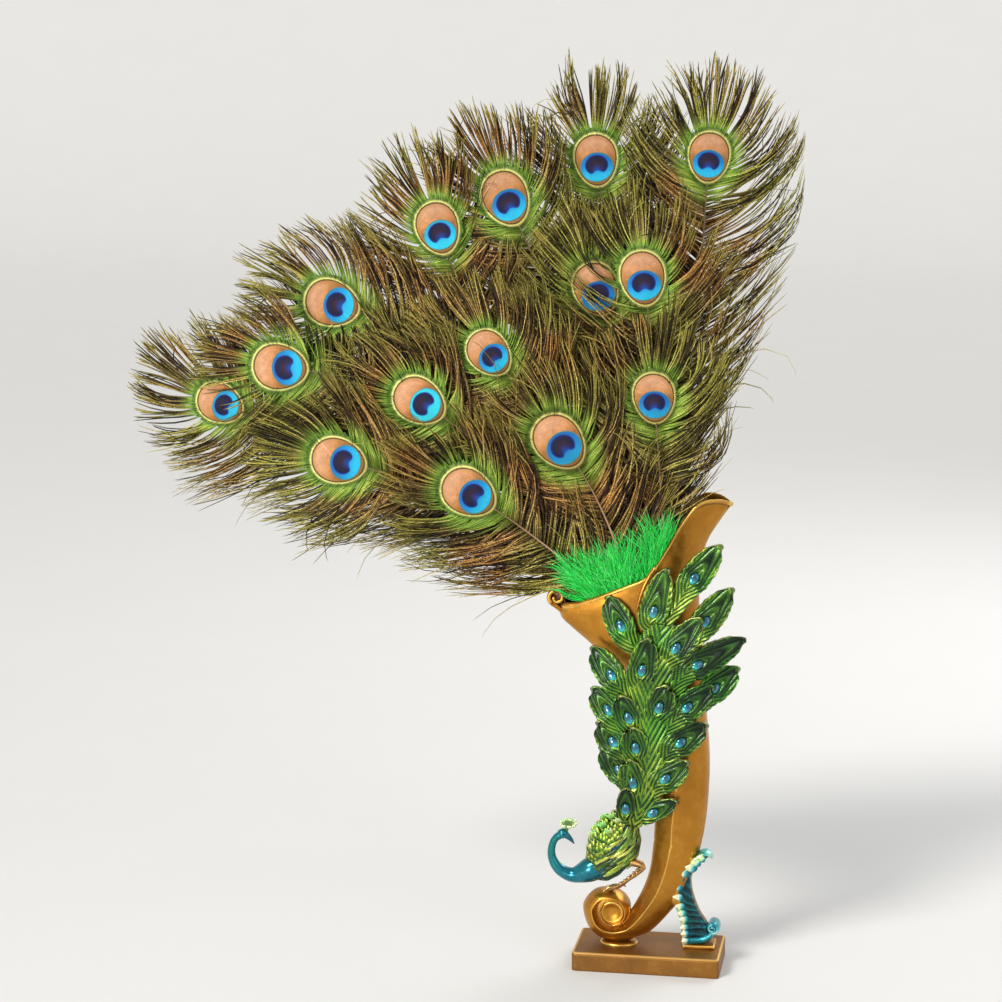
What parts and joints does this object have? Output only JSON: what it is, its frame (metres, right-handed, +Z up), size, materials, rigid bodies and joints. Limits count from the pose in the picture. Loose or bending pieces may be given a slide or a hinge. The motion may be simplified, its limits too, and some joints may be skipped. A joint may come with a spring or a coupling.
{
  "type": "peacock feather arrangement in a cornucopia vase",
  "caption": "Peacock eye feathers fanned out of a small gold horn-shaped vase with a scroll foot and a perching peacock ornament.",
  "frame": {"origin": "centre of the plinth's underside", "axes": "+Z up, +X along the plinth's length towards the horn's pointed lip, -Y towards the front with the ornament bird"},
  "size_m": [0.5132, 0.094, 0.7211],
  "materials": {
    "gold_paint": "cast resin with satin metallic gold paint, rubbed brighter along the edges",
    "teal_paint": "cast resin with pearly teal paint and gold-cream raised edges",
    "bird_paint": "cast resin with metallic teal neck and yellow-green scaled body",
    "cream_paint": "cast resin painted cream and green",
    "bronze_paint": "cast resin painted bronze brown",
    "tail_paint": "cast resin with metallic green glaze over gold, raised edges rubbed bright",
    "blue_stone": "polished oval acrylic cabochon, deep blue",
    "feather": "natural iridescent feather barbs, bronze and green, with the blue and copper eye",
    "dyed_feather": "fluffy feather dyed bright emerald green"
  },
  "bodies": {
    "root": {"plinth": "gold_paint", "horn": "gold_paint", "scroll_foot": "gold_paint", "acanthus_bracket": "teal_paint", "peacock_bird": "bird_paint", "bird_crest": "cream_paint", "bird_legs": "bronze_paint", "tail_train": "tail_paint", "tail_gem_01": "blue_stone", "tail_gem_02": "blue_stone", "tail_gem_03": "blue_stone", "tail_gem_04": "blue_stone", "tail_gem_05": "blue_stone", "tail_gem_06": "blue_stone", "tail_gem_07": "blue_stone", "tail_gem_08": "blue_stone", "tail_gem_09": "blue_stone", "tail_gem_10": "blue_stone", "tail_gem_11": "blue_stone", "tail_gem_12": "blue_stone", "tail_gem_13": "blue_stone", "tail_gem_14": "blue_stone", "tail_gem_15": "blue_stone", "tail_gem_16": "blue_stone", "tail_gem_17": "blue_stone", "tail_gem_18": "blue_stone", "tail_gem_19": "blue_stone", "tail_gem_20": "blue_stone", "tail_gem_21": "blue_stone", "peacock_feather_01": "feather", "peacock_feather_02": "feather", "peacock_feather_03": "feather", "peacock_feather_04": "feather", "peacock_feather_05": "feather", "peacock_feather_06": "feather", "peacock_feather_07": "feather", "peacock_feather_08": "feather", "peacock_feather_09": "feather", "peacock_feather_10": "feather", "peacock_feather_11": "feather", "peacock_feather_12": "feather", "peacock_feather_13": "feather", "peacock_feather_14": "feather", "peacock_feather_15": "feather", "green_plume_01": "dyed_feather", "green_plume_02": "dyed_feather", "green_plume_03": "dyed_feather", "green_plume_04": "dyed_feather", "green_plume_05": "dyed_feather", "green_plume_06": "dyed_feather", "green_plume_07": "dyed_feather"}
  },
  "joints": []
}
